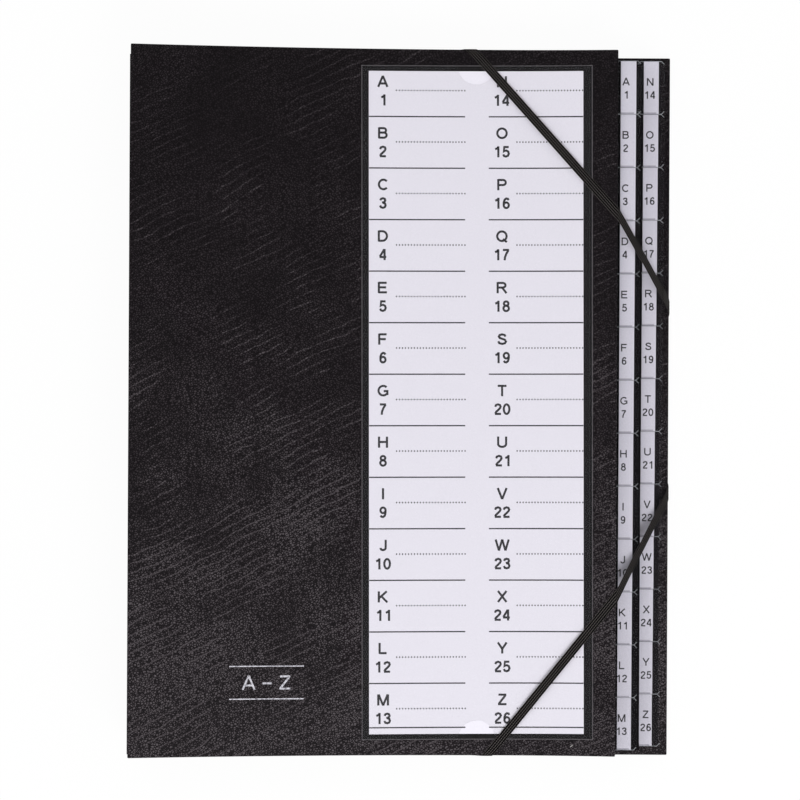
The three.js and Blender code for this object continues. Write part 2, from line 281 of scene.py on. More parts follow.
def maths(tree, operation, *values):
    """One step of arithmetic on sockets and plain numbers."""
    links = {i: v for i, v in enumerate(values) if isinstance(v, bpy.types.NodeSocket)}
    sockets = {i: v for i, v in enumerate(values) if i not in links}
    return add_node(tree, "ShaderNodeMath", links, sockets, operation=operation).outputs["Value"]


def colour_ramp(tree, source, stops):
    node = add_node(tree, "ShaderNodeValToRGB", {"Fac": source})
    elements = node.color_ramp.elements
    while len(elements) < len(stops):
        elements.new(0.5)
    for element, (position, colour) in zip(elements, stops):
        element.position = position
        element.color = srgb(colour)
    return node.outputs["Color"]


def grey_ramp(tree, source, low, high, bottom=0.0, top=1.0):
    """Maps a value from low..high to bottom..top with a soft step, clamped."""
    node = add_node(tree, "ShaderNodeMapRange", {"Value": source},
                    {"From Min": low, "From Max": high, "To Min": bottom, "To Max": top},
                    interpolation_type="SMOOTHSTEP")
    return node.outputs["Result"]


def own_place(tree):
    """The piece's own coordinates, in metres."""
    return add_node(tree, "ShaderNodeTexCoord").outputs["Object"]


def noise(tree, size, detail, roughness=0.5):
    """Soft noise on the piece, with features of about this size."""
    return add_node(tree, "ShaderNodeTexNoise", {"Vector": own_place(tree)},
                    {"Scale": 1 / size, "Detail": detail, "Roughness": roughness}).outputs["Fac"]


def paint(shader, source, stops):
    tree = shader.id_data
    tree.links.new(colour_ramp(tree, source, stops), shader.inputs["Base Color"])


def emboss(shader, height, strength, depth):
    tree = shader.id_data
    bump = add_node(tree, "ShaderNodeBump", {"Height": height},
                    {"Strength": strength, "Distance": depth})
    tree.links.new(bump.outputs["Normal"], shader.inputs["Normal"])


def mottled(name, size, detail, stops, **sockets):
    """A material whose colour wanders between a few shades."""
    material, shader = new_material(name, **sockets)
    paint(shader, noise(shader.id_data, size, detail), stops)
    return material


print("material helpers ready, mid grey is", round(srgb("#808080")[0], 3))

# %% [markdown]
# Grain of the leatherette. The cloth is PVC-coated and embossed with a calf grain: its
# pebbles, under a millimetre wide and half as long again, have valleys between them,
# which the colour darkens as painted shade. Fine creases run from lower left to upper
# right in groups, with open skin between.

# %% Grain and creases
PEBBLE = 0.85 * MM
PEBBLE_STRETCH = 1.5
CREASE_PITCH = 4.0 * MM
CREASE_SWAY = 14 * MM
CREASE_TURN = math.radians(27)
CREASE_GROUP = 24 * MM
# A Wave texture of scale 1 has twenty over tau bands to a metre.
WAVE_PITCH = math.tau / 20


def make_pebbles(tree, place):
    """Stretched cells, moved by noise so that no row shows."""
    wander = add_node(tree, "ShaderNodeTexNoise", {"Vector": place},
                      {"Scale": 0.45 / PEBBLE, "Detail": 2})
    offset = add_node(tree, "ShaderNodeVectorMath", {0: wander.outputs["Color"]},
                      {1: (0.5, 0.5, 0.5)}, operation="SUBTRACT")
    moved = add_node(tree, "ShaderNodeVectorMath",
                     {0: offset.outputs["Vector"], 2: place},
                     {1: (1.3 * PEBBLE,) * 3}, operation="MULTIPLY_ADD")
    laid = add_node(tree, "ShaderNodeMapping", {"Vector": moved.outputs["Vector"]},
                    {"Rotation": (0, 0, CREASE_TURN), "Scale": (PEBBLE_STRETCH, 1, 1)},
                    vector_type="TEXTURE")
    cells = add_node(tree, "ShaderNodeTexVoronoi", {"Vector": laid.outputs["Vector"]},
                     {"Scale": 1 / PEBBLE}, feature="DISTANCE_TO_EDGE")
    return grey_ramp(tree, cells.outputs["Distance"], 0.03, 0.25, 0.16, 0.96)


def make_creases(tree, place):
    """Fine wavy folds a few millimetres apart, gathered in groups."""
    turned = add_node(tree, "ShaderNodeMapping", {"Vector": place},
                      {"Rotation": (0, 0, -CREASE_TURN)})
    folds = add_node(tree, "ShaderNodeTexWave", {"Vector": turned.outputs["Vector"]},
                     {"Scale": WAVE_PITCH / CREASE_PITCH, "Distortion": 9.0, "Detail": 4,
                      "Detail Scale": CREASE_PITCH / CREASE_SWAY, "Detail Roughness": 0.62},
                     bands_direction="Y")
    present = grey_ramp(tree, noise(tree, CREASE_GROUP, 4, 0.55), 0.4, 0.62)
    line = grey_ramp(tree, folds.outputs["Fac"], 0.84, 1.0)
    return maths(tree, "MULTIPLY", line, present)


print("pebbles across the front cover", round((free_x - spine_x) / PEBBLE))

# %% [markdown]
# Leatherette. The light grey on top of the pebbles and along the creases is a painted
# highlight, and the dark valleys are painted shade. Broad patches are a little shinier or
# duller, and a painted sheen makes the lower end lighter.

# %% Leatherette
PATCH = 35 * MM
# The painted sheen: where it is brightest at the bottom and dimmest at the top, and how strong it
# is at each.
SHEEN_BOTTOM_Y, SHEEN_TOP_Y = -165 * MM, 150 * MM
SHEEN_BOTTOM, SHEEN_TOP = 1.22, 0.62


def make_leatherette():
    material, shader = new_material("embossed black leatherette", IOR=1.45,
                                    Specular_IOR_Level=0.06)
    tree = shader.id_data
    place = own_place(tree)
    pebble = make_pebbles(tree, place)
    crease = make_creases(tree, place)
    patches = noise(tree, PATCH, 5, 0.6)
    upward = add_node(tree, "ShaderNodeSeparateXYZ", {"Vector": place}).outputs["Y"]
    # Painted sheen: the colour grows lighter towards the lower end, times broad random patches.
    patches_and_sheen = maths(tree, "MULTIPLY", grey_ramp(tree, patches, 0.3, 0.7, 0.7, 1.0),
                 grey_ramp(tree, upward, SHEEN_BOTTOM_Y, SHEEN_TOP_Y, SHEEN_BOTTOM, SHEEN_TOP))
    # Painted highlight on top of the pebbles and along the creases, and painted shade in the
    # valleys between the pebbles.
    grain_highlight_and_shade = maths(tree, "MULTIPLY_ADD", crease, 0.6, pebble)
    paint(shader, maths(tree, "MULTIPLY", grain_highlight_and_shade, patches_and_sheen),
          [(0.0, "#050304"), (0.4, "#1b171a"), (0.75, "#342f32"), (1.0, "#514c4f")])
    emboss(shader, maths(tree, "MULTIPLY_ADD", crease, 1.2, pebble), 0.8, 0.3 * MM)
    tree.links.new(grey_ramp(tree, patches, 0.3, 0.7, 0.36, 0.5), shader.inputs["Roughness"])
    return material


leather = make_leatherette()
print("made", leather.name)

# %% [markdown]
# Card, cloth and paper. Divider card is black pulp board: matt, with faint fibres.
# Bookbinding cloth is woven, but its threads are finer than the render can show, so
# they are drawn at half a millimetre. Label and index paper are smooth white stock.


# %% Card, cloth and paper
THREAD = 0.5 * MM


def make_card(name, dark, light, fibre, roughness, bump_depth, shine=0.05):
    material, shader = new_material(name, Roughness=roughness, IOR=1.45,
                                    Specular_IOR_Level=shine)
    fibres = noise(shader.id_data, fibre, 6, 0.7)
    paint(shader, fibres, [(0.3, dark), (0.7, light)])
    emboss(shader, fibres, 0.3, bump_depth)
    return material


def make_cloth():
    material, shader = new_material("black bookbinding cloth", Roughness=0.95,
                                    Specular_IOR_Level=0.15)
    tree = shader.id_data
    place = own_place(tree)
    threads = []
    for direction in ("Y", "Z"):
        wave = add_node(tree, "ShaderNodeTexWave", {"Vector": place},
                        {"Scale": WAVE_PITCH / THREAD, "Distortion": 0.4},
                        bands_direction=direction)
        threads.append(wave.outputs["Fac"])
    weave = maths(tree, "MAXIMUM", *threads)
    paint(shader, weave, [(0.2, "#0d0c0d"), (1.0, "#232123")])
    emboss(shader, weave, 0.5, 0.1 * MM)
    return material


divider_card = make_card("black pulp board", "#0a090a", "#151315", 0.6 * MM, 0.8, 0.03 * MM)
endpaper = make_card("black endpaper", "#141214", "#211e21", 1.2 * MM, 0.75, 0.05 * MM)
index_paper = make_card("white index card", "#e6e3ed", "#ece9f3", 0.8 * MM, 0.7, 0.02 * MM, 0.3)
label_paper = make_card("white label paper", "#cfccd8", "#dad7e3", 0.8 * MM, 0.6, 0.02 * MM, 0.3)
# The fold's darker grey is painted shade.
fold_shade_paper = make_card("painted shade on label's folded end", "#9d9aa6", "#b5b2be", 0.8 * MM, 0.6, 0.02 * MM, 0.3)
gusset_cloth = make_cloth()
print("card and paper from", divider_card.name, "to", fold_shade_paper.name)

# %% [markdown]
# Printing ink is flat and dark. It is made as a very thin solid on the paper, because a
# letter's outline is a shape and not a pattern. The stamp's foil is silver, a little worn.

# %% Inks and foil
ink = mottled("offset printing ink", 0.4 * MM, 3, [(0.3, "#0c0b10"), (0.75, "#1d1b24")],
              Roughness=0.6)
foil = mottled("silver stamping foil", 1.1 * MM, 4, [(0.32, "#77757c"), (0.55, "#b7b6bd")],
               Roughness=0.38, Metallic=0.9)
print("made", ink.name, "and", foil.name)

# %% [markdown]
# Clear film is polypropylene sheet. It is thin, so light goes straight through, and what
# the eye sees is a faint haze and the shine of the lamps on its face. A low alpha with a
# grey colour, a painted reflection, gives that, and keeps what is under it lit. The cut
# edges take a brighter painted glint.


# %% Clear films
def make_film(name, alpha, roughness, dark, light):
    material, shader = new_material(name, Roughness=roughness, IOR=1.49, Alpha=alpha)
    ripple = noise(shader.id_data, 14 * MM, 2)
    paint(shader, ripple, [(0.3, dark), (0.7, light)])
    emboss(shader, ripple, 0.25, 0.5 * MM)
    return material


# The grey of both films is a painted reflection.
pocket_film = make_film("clear pocket film", 0.035, 0.16, "#3a3a3e", "#56565c")
tab_film = make_film("clear laminating film", 0.03, 0.12, "#3a3a3e", "#56565c")
film_edge_glint = make_film("painted glint on cut film edge", 0.6, 0.3, "#6f7178", "#b4b6bc")
print("made", pocket_film.name, "and", tab_film.name)

# %% [markdown]
# The elastic is a flat braid of black rayon over rubber threads. The threads show as
# four fine ribs along it, and the crossing yarns as small slanted specks. Its pattern
# follows the band, so it is drawn on the band's own UV map: U across, V in metres.

# %% Elastic braid
BRAID_PITCH = 1.1 * MM
RIBS = 4


def make_braid():
    material, shader = new_material("braided black elastic", Roughness=0.8,
                                    Specular_IOR_Level=0.06)
    tree = shader.id_data
    uv = add_node(tree, "ShaderNodeUVMap", uv_map="UVMap").outputs["UV"]
    split = add_node(tree, "ShaderNodeSeparateXYZ", {"Vector": uv})
    along = maths(tree, "MULTIPLY", split.outputs["Y"], math.tau / BRAID_PITCH)
    across = maths(tree, "MULTIPLY", split.outputs["X"], math.pi * RIBS)
    rib = maths(tree, "ABSOLUTE", maths(tree, "SINE", across))
    yarn = maths(tree, "SINE", maths(tree, "ADD", across, along))
    furrow = grey_ramp(tree, rib, 0.1, 0.5, 1.0, 0.0)
    both = maths(tree, "MULTIPLY_ADD", yarn, 0.3, furrow)
    paint(shader, both, [(0.0, "#030303"), (0.45, "#080707"), (1.0, "#6f6967")])
    emboss(shader, both, 0.7, 0.15 * MM)
    return material


braid = make_braid()
print("made", braid.name)

# %% [markdown]
# Covers. Each is a board wrapped in leatherette, so its edges are round and its corners
# are slightly soft where the material is folded in. The front one is made flat and bent
# over the stack. Inside, a black endpaper covers the board but stops short of the edges,
# where the turned-in leatherette shows.

# %% Covers
EDGE = 0.7 * MM
CORNER = 0.5 * MM
BEND_STEP = 2.5 * MM
TURN_IN = 4.2 * MM
PAPER = 0.12 * MM
SKIN = 0.35 * MM

front_bm = soft_board((spine_x, front_low.y, 0), (free_x, front_high.y, board), CORNER, EDGE)
cut_across(front_bm, spine_x, free_x, BEND_STEP)
bend(front_bm, cover_height)
smooth(add_piece("front_board", front_bm, leather, "front_cover",
                 ["front_cover"]))

lining_bm = box_bmesh((spine_x + TURN_IN, front_low.y + TURN_IN, -PAPER),
                      (free_x - TURN_IN, front_high.y - TURN_IN, 0))
cut_across(lining_bm, spine_x + TURN_IN, free_x - TURN_IN, BEND_STEP)
bend(lining_bm, cover_height)
smooth(add_piece("front_endpaper", lining_bm, endpaper, "front_cover"))

back_bm = soft_board(back_low, back_high, CORNER, EDGE)
back_board = add_piece("back_board", back_bm, leather, "back_cover", ["back_cover"])

back_lining_bm = box_bmesh(
    (spine_x + TURN_IN, back_low.y + TURN_IN, back_high.z),
    (back_high.x - TURN_IN, back_high.y - TURN_IN, back_high.z + PAPER))
add_piece("back_endpaper", back_lining_bm, endpaper, "back_cover")

spine_bm = soft_board((spine_x - SKIN, spine_low.y, spine_low.z),
                      spine_high, EDGE, EDGE)
smooth(add_piece("spine_board", spine_bm, leather, "leaf_block", ["spine_cover"]))
print("boards", round(board / MM, 2), "mm thick")

# %% [markdown]
# Hinges. The covers and the spine are joined by the leatherette alone. One strip stands
# along each joint, cut across into rows, and rides on no body. The gusset is the frame's
# own piece, and only gets its cloth.

# %% Leatherette hinges
LAP = 2.0 * MM
HINGE_GAP = 0.02 * MM
HINGE_STRIPS = 12


def hinge_strip(name, z0, z1):
    bm = box_bmesh((spine_x - SKIN, spine_low.y, z0), (spine_x - HINGE_GAP, spine_high.y, z1))
    slice_up(bm, z0, z1, HINGE_STRIPS, 2)
    strip = smooth(add_piece(name, bm, leather, None))
    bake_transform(strip)
    print(name, round((z1 - z0) / MM, 1), "mm high")


front_corner = cover_top(spine_x)
hinge_strip("front_hinge", spine_high.z - LAP, front_corner - EDGE)
hinge_strip("back_hinge", back_low.z + EDGE, spine_low.z + LAP)
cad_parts["spine_gusset"].material_slots[0].material = gusset_cloth

# %% [markdown]
# Dividers. Twenty-six sheets of card, each following the stack's curve at its own level.
# They are cut across every five millimetres, so the bend looks smooth.

# %% Dividers
CARD = 0.3 * MM
LEAF_STEP = 5 * MM
for index, letter in enumerate(LETTERS):
    low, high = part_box(f"divider_{letter}")
    bm = box_bmesh((low.x, low.y, -CARD / 2), (high.x, high.y, CARD / 2))
    cut_across(bm, low.x, high.x, LEAF_STEP)
    bend(bm, lambda x: leaf_height(index, x))
    smooth(add_piece(f"card_{letter}", bm, divider_card, "leaf_block",
                     [f"divider_{letter}"]))
print("dividers", COUNT)

# %% [markdown]
# Lettering. The print is a plain grotesque, with a flagged 1 and level stroke ends, and
# Blender's own font is of another kind. So each character is a few strokes, given by
# their middle lines, in hundredths of a capital's height.


# %% Strokes of the characters
def arc(cx, cy, rx, ry, start, end, steps=14):
    turns = [math.radians(start + (end - start) * i / steps) for i in range(steps + 1)]
    return [(cx + rx * math.cos(t), cy + ry * math.sin(t)) for t in turns]


CAPITAL = 100
TOP, LOW, LEFT = 93, 7, 6
STEM = [(LEFT, 0), (LEFT, 100)]
RING = arc(39, 50, 33, 43, 0, 360, 28)
SIX = [(9, 36), (10, 60), (16, 82), (28, 93), (40, 90), (46, 78)]
SIX_BOWL = arc(28, 32, 19, 25, 0, 360, 20)
STROKES = {
    "A": [[(3, 0), (35.5, 100)], [(35.5, 100), (68, 0)], [(15, 31), (56, 31)]],
    "B": [STEM, [(LEFT, TOP), *arc(38, 73, 17, 20, 90, -90), (LEFT, 53)],
          [(LEFT, 53), *arc(40, 30, 19, 23, 90, -90), (LEFT, LOW)]],
    "C": [arc(38, 50, 32, 43, 42, 318, 20)],
    "D": [STEM, [(LEFT, TOP), *arc(31, 50, 32, 43, 90, -90), (LEFT, LOW)]],
    "E": [STEM, [(LEFT, TOP), (61, TOP)], [(LEFT, 52), (57, 52)], [(LEFT, LOW), (63, LOW)]],
    "F": [STEM, [(LEFT, TOP), (58, TOP)], [(LEFT, 50), (52, 50)]],
    "G": [[*arc(39, 50, 33, 43, 45, 315, 20), (68, 20), (68, 46), (42, 46)]],
    "H": [STEM, [(62, 0), (62, 100)], [(LEFT, 52), (62, 52)]],
    "I": [STEM],
    "J": [[(43, 100), *arc(24.5, 28, 18.5, 21, 0, -175)]],
    "K": [STEM, [(62, 100), (LEFT, 36)], [(24, 55), (66, 0)]],
    "L": [STEM, [(LEFT, LOW), (55, LOW)]],
    "M": [STEM, [(74, 0), (74, 100)], [(8, 100), (40, 0)], [(40, 0), (72, 100)]],
    "N": [STEM, [(62, 0), (62, 100)], [(7, 98), (61, 2)]],
    "O": [RING],
    "P": [STEM, [(LEFT, TOP), *arc(39, 70, 20, 23, 90, -90), (LEFT, 47)]],
    "Q": [RING, [(46, 24), (74, -3)]],
    "R": [STEM, [(LEFT, TOP), *arc(41, 72, 20, 21, 90, -90), (LEFT, 51)], [(38, 50), (68, 0)]],
    "S": [[(58, 73), (52, 87), (34, 93), (17, 87), (11, 73), (18, 60), (35, 53), (53, 45),
           (61, 28), (54, 13), (35, 7), (14, 14), (7, 31)]],
    "T": [[(31, 0), (31, 100)], [(0, TOP), (62, TOP)]],
    "U": [[(LEFT, 100), *arc(34, 33, 28, 26, 180, 360), (62, 100)]],
    "V": [[(3, 100), (34, 0)], [(34, 0), (65, 100)]],
    "W": [[(2, 100), (25, 0)], [(25, 0), (48, 100)], [(48, 100), (71, 0)], [(71, 0), (94, 100)]],
    "X": [[(4, 100), (64, 0)], [(4, 0), (64, 100)]],
    "Y": [[(3, 100), (34, 42)], [(34, 42), (65, 100)], [(34, 44), (34, 0)]],
    "Z": [[(6, TOP), (61, TOP)], [(57, 90), (8, 10)], [(3, LOW), (63, LOW)]],
    "0": [arc(27, 50, 21, 43, 0, 360, 24)],
    "1": [[(34, 0), (34, 100)], [(34, 92), (24, 80), (10, 73)]],
    "2": [[(7, 71), (12, 86), (28, 93), (42, 87), (47, 73), (43, 60), (28, 41), (13, 25),
           (7, 10)], [(4, LOW), (50, LOW)]],
    "3": [[(7, 74), (13, 88), (27, 93), (40, 88), (44, 74), (38, 59), (20, 54)],
          [(26, 54), (42, 46), (47, 29), (41, 13), (27, 7), (12, 12), (6, 28)]],
    "4": [[(40, 0), (40, 100)], [(38, 98), (5, 32)], [(2, 28), (53, 28)]],
    "5": [[(47, TOP), (14, TOP), (9, 52), (18, 60), (30, 61), (43, 52), (48, 34), (41, 14),
           (26, 7), (12, 12), (6, 27)]],
    "6": [SIX, SIX_BOWL],
    "7": [[(4, TOP), (50, TOP)], [(46, 90), (30, 60), (20, 28), (17, 0)]],
    "8": [arc(27, 74, 17, 19, 0, 360, 18), arc(27, 30, 20.5, 24, 0, 360, 20)],
    "9": [[(55 - x, CAPITAL - y) for x, y in stroke] for stroke in (SIX, SIX_BOWL)],
    "-": [[(0, 45), (50, 45)]],
}
LETTER_WIDEN, DIGIT_WIDEN = 1.28, 1.2
DIGIT_PITCH = 0.78
print("characters drawn as strokes", len(STROKES))

# %% [markdown]
# Setting the type. A stroke is a grid of two rows laid along its line, widened to both
# sides and given a hair of thickness. Digits stand at one pitch, and other characters by
# their own widths.

# %% Lettering helper
INK_RISE = 0.03 * MM
LETTER_GAP = 0.25
WORD_GAP = 0.3
SHARPEST = 0.6


def ribbon_grid(bm, lines):
    """A grid laid along cross lines: its two long rows run through their ends."""
    count = len(lines)
    verts = bmesh.ops.create_grid(bm, x_segments=count - 1, y_segments=1, size=0.5)["verts"]
    for vertex in verts:
        left, right = lines[round((vertex.co.x + 0.5) * (count - 1))]
        vertex.co = right if vertex.co.y > 0 else left
    return verts


def stroke_lines(points, weight):
    """Cross lines of a stroke, square to it, and longer where it turns."""
    closed = (Vector(points[0]) - Vector(points[-1])).length < 1e-6
    lines = []
    for i, point in enumerate(points):
        here = Vector(point)
        before = Vector(points[i - 1] if i else points[-2] if closed else points[0])
        last = i == len(points) - 1
        after = Vector(points[i + 1] if not last else points[1] if closed else point)
        along = [d.normalized() for d in (here - before, after - here) if d.length > 1e-6]
        mean = sum(along, Vector((0, 0))).normalized()
        reach = weight / 2 / max(SHARPEST, mean.dot(along[0]))
        side = Vector((-mean.y, mean.x)) * reach
        lines.append(((here + side).to_3d(), (here - side).to_3d()))
    return lines


def draw_words(bm, words, x, y, cap, weight):
    """Draws characters, centred on x and y, as thin solids one capital high."""
    wide = DIGIT_WIDEN if words.isdigit() else LETTER_WIDEN
    placed, pen = [], 0.0
    for character in words:
        strokes = [[(px * wide / CAPITAL, py / CAPITAL) for px, py in s]
                   for s in STROKES.get(character, [])]
        xs = [px for s in strokes for px, _ in s]
        if character.isdigit():
            placed.append((strokes, pen))
            pen += DIGIT_PITCH
        elif xs:
            placed.append((strokes, pen - min(xs)))
            pen += max(xs) - min(xs) + LETTER_GAP
        else:
            pen += WORD_GAP
    edges = [px + shift for strokes, shift in placed for s in strokes for px, _ in s]
    middle = (min(edges) + max(edges)) / 2
    place = Matrix.Translation((x, y, 0)) @ Matrix.Scale(cap, 4)
    place = place @ Matrix.Translation((-middle, -0.5, 0))
    for strokes, shift in placed:
        for s in strokes:
            lines = stroke_lines([(px + shift, py) for px, py in s], weight)
            verts = ribbon_grid(bm, [(place @ a, place @ b) for a, b in lines])
            faces = list({f for v in verts for f in v.link_faces})
            out = bmesh.ops.extrude_face_region(bm, geom=faces)["geom"]
            top = [g for g in out if isinstance(g, bmesh.types.BMVert)]
            bmesh.ops.translate(bm, vec=(0, 0, INK_RISE), verts=top)


def lettering(entries, cap, weight):
    """A bmesh of words, each with its centre's x and y."""
    bm = bmesh.new()
    for words, x, y in entries:
        draw_words(bm, words, x, y, cap, weight)
    return bm


print("type is", INK_RISE / MM, "mm thick")

# %% [markdown]
# Film tabs. Clear film grips the card's edge and holds the label. Its corners are cut at
# 45 degrees, and its sides and ends take a brighter material, a painted glint of the cut edge.

# %% Film tabs
GRIP = 2.4 * MM
FILM = 0.08 * MM
FILM_GAP = 0.02 * MM
CHAMFER = 1.4 * MM
RIM = 0.3 * MM
COLUMN_RISE = 0.85 * MM


def tab_box(index):
    """A tab's box. The second column stands a little higher up the page."""
    low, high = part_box(f"tab_{LETTERS[index]}")
    rise = Vector((0, COLUMN_RISE * (index // ROWS), 0))
    return low + rise, high + rise


def film_bottom(index):
    return leaf_height(index, free_x) + CARD / 2 + FILM_GAP


def make_film_tab(index):
    name = f"tab_{LETTERS[index]}"
    low, high = tab_box(index)
    z = film_bottom(index)
    bm = box_bmesh((low.x - GRIP, low.y, z), (high.x, high.y, z + FILM))
    bevel_edges(bm, [e for e in bm.edges if upright(e)], CHAMFER, 1)
    upper = max(bm.faces, key=lambda f: f.calc_center_median().z)
    bmesh.ops.inset_region(bm, faces=[upper], thickness=RIM)
    film = add_piece(f"tab_film_{LETTERS[index]}", bm, tab_film, "leaf_block", [name])
    # The sides and ends of the film get the painted glint.
    film.data.materials.append(film_edge_glint)
    middle = (low.y + high.y) / 2
    for face in film.data.polygons:
        at_end = abs(face.center.y - middle) > (high.y - low.y) / 2 - CHAMFER
        if at_end or abs(face.normal.z) < 0.5:
            face.material_index = 1


print("first film at, mm", round(film_bottom(0) / MM, 2))

# %% [markdown]
# Labels. A folded paper label is sealed in each tab. The upper of its two layers is a
# millimetre narrower, which shows as a fine line. Its lower end is folded, and painted
# shade makes it a little darker. Down each column the labels drift a little sideways.

# %% Labels
LABEL_WIDTH = 7.4 * MM
LABEL_STEP = 1.05 * MM
LABEL_END = 0.12 * MM
LABEL_THICK = 0.2 * MM
LABEL_ROUND = 0.12 * MM
UNDER_DROP = 0.03 * MM
UNDER_TOP = 0.1 * MM
PRINT_DROP = 0.02 * MM
FOLD = 0.9 * MM
FOLD_RISE = 0.01 * MM
TAB_WEIGHT = 0.165
# How far each label's sides sit from their usual place, at the top and at the bottom row.
LABEL_TRIMS = [
    ((0.75 * MM, 1.0 * MM), (0.5 * MM, 0.1 * MM)),
    ((0.45 * MM, 0.0), (0.0, -1.1 * MM)),
]
TAB_CAP = 3.5 * MM
PRINT_XS = (3.15 * MM, 3.4 * MM)
LETTER_Y = 9.6 * MM
NUMBER_Y = 15.7 * MM


def soft_box(low, high):
    bm = box_bmesh(low, high)
    bevel_edges(bm, [e for e in bm.edges if not upright(e)], LABEL_ROUND, 2)
    return bm


def label_sides(index, low):
    """The label's left and right sides, which drift down the column."""
    down = index % ROWS / (ROWS - 1)
    left, right = (top + (end - top) * down for top, end in LABEL_TRIMS[index // ROWS])
    return low.x + left, low.x + LABEL_WIDTH + right


def make_label(index):
    letter = LETTERS[index]
    low, high = tab_box(index)
    left, right = label_sides(index, low)
    low_y, high_y = low.y + LABEL_END, high.y - LABEL_END
    z = film_bottom(index) - FILM_GAP
    label_bm = soft_box((left, low_y, z - LABEL_THICK), (right - LABEL_STEP, high_y, z))
    add_box(label_bm, (left, low_y, z - LABEL_THICK - UNDER_DROP), (right, high_y, z - UNDER_TOP))
    fold_bm = soft_box((left, low_y, z - LABEL_THICK),
                       (right - LABEL_STEP, low_y + FOLD, z + FOLD_RISE))
    x = low.x + PRINT_XS[index // ROWS]
    print_bm = lettering([(letter.upper(), x, high.y - LETTER_Y),
                          (str(index + 1), x, high.y - NUMBER_Y)], TAB_CAP, TAB_WEIGHT)
    bend(print_bm, lambda _: z - PRINT_DROP)
    parts = {"label": (label_bm, label_paper), "fold": (fold_bm, fold_shade_paper),
             "print": (print_bm, ink)}
    for part, (bm, material) in parts.items():
        add_piece(f"tab_{part}_{letter}", bm, material, "leaf_block")


for index in range(COUNT):
    make_film_tab(index)
    make_label(index)
print("tabs and labels", COUNT)

# %% [markdown]
# Index card. The pocket is welded on a third of a degree askew, and its card lies square
# in it.

# %% Index card
CARD_RISE = 0.04 * MM
INDEX_THICK = 0.25 * MM
ASKEW = math.radians(0.315)
index_top = CARD_RISE + INDEX_THICK
pocket_middle = (pocket_low + pocket_high) / 2


def askew(bm):
    bmesh.ops.rotate(bm, cent=(pocket_middle.x, pocket_middle.y, 0),
                     matrix=Matrix.Rotation(ASKEW, 3, "Z"), verts=bm.verts)


def lay(bm, x0, x1):
    """Lays a flat shape over the cover, turned as the pocket is."""
    cut_across(bm, x0, x1, BEND_STEP)
    askew(bm)
    bend(bm, cover_top)


index_bm = box_bmesh((index_low.x, index_low.y, CARD_RISE),
                     (index_high.x, index_high.y, index_top))
lay(index_bm, index_low.x, index_high.x)
smooth(add_piece("index_card_sheet", index_bm, index_paper, "front_cover",
                 ["index_card"]))
print("index card, mm", in_mm(index_high - index_low))

# %% [markdown]
# Index print. The card has twenty-six boxes in two columns, each with a bold letter and
# number, a dotted line to write on, and a fine rule below. It is bent with the card.

# %% Index print
LINE = 0.58 * MM
ROW_PITCH = 23.7 * MM
ROW_TOP = -2.75 * MM
LAST_RULE = 302.0 * MM
DOTS_DOWN = 11.65 * MM
DOT = 0.6 * MM
DOT_PITCH = 1.37 * MM
DOT_TALL = 1.35
DOT_COUNTS = (24, 23)
LETTER_DOWN = 7.57 * MM
NUMBER_DOWN = 16.1 * MM
INDEX_CAP = 5.1 * MM
INDEX_WEIGHT = 0.195
COLUMN_STARTS = (0.0, 55.1 * MM)
RULE_LENGTH = 44.4 * MM
DOTS_RIGHT = (12.7 * MM, 13.1 * MM)
LETTER_RIGHT = (6.45 * MM, 6.2 * MM)
DOT_SIDES = 8
RULE_GAP = 0.1 * MM
rules_bm = bmesh.new()
dots_bm = bmesh.new()
entries = []


def add_dot(x, y):
    ring = bmesh.ops.create_cone(dots_bm, cap_ends=True, segments=DOT_SIDES, radius1=DOT / 2,
                                 radius2=DOT / 2, depth=INK_RISE)["verts"]
    bmesh.ops.scale(dots_bm, vec=(1, DOT_TALL, 1), verts=ring)
    bmesh.ops.translate(dots_bm, vec=(x, y, index_top + INK_RISE / 2), verts=ring)


for column, start in enumerate(COLUMN_STARTS):
    left = index_low.x + start
    right = min(left + RULE_LENGTH, index_high.x)
    for row in range(ROWS):
        top = index_high.y - ROW_TOP - row * ROW_PITCH
        rule = index_high.y - LAST_RULE if row == ROWS - 1 else top - ROW_PITCH
        add_box(rules_bm, (left + RULE_GAP, rule - LINE / 2, index_top),
                (right - RULE_GAP, rule + LINE / 2, index_top + INK_RISE))
        for dot in range(DOT_COUNTS[column]):
            add_dot(left + DOTS_RIGHT[column] + dot * DOT_PITCH, top - DOTS_DOWN)
        number = column * ROWS + row
        x = left + LETTER_RIGHT[column]
        entries.append((LETTERS[number].upper(), x, top - LETTER_DOWN))
        entries.append((str(number + 1), x, top - NUMBER_DOWN))

lay(rules_bm, index_low.x, index_high.x)
askew(dots_bm)
bend(dots_bm, cover_top)
letters_bm = lettering(entries, INDEX_CAP, INDEX_WEIGHT)
askew(letters_bm)
bend(letters_bm, lambda x: cover_top(x) + index_top)
for part, bm in (("rules", rules_bm), ("dots", dots_bm), ("lettering", letters_bm)):
    add_piece(f"index_{part}", bm, ink, "front_cover")
print("index entries", len(entries))

# %% [markdown]
# Pocket. A clear film with a half-moon thumb cut at each end. Its sides, round the thumb
# cuts too, take a brighter material, a painted glint of the cut edge.

# %% Pocket
POCKET_RISE = 0.36 * MM
POCKET_FILM = 0.1 * MM
THUMB_RADIUS = 8.5 * MM
THUMB_SIDES = 48
THUMB_DEEP = 10 * MM
THUMB_X = pocket_high.x - 53.1 * MM

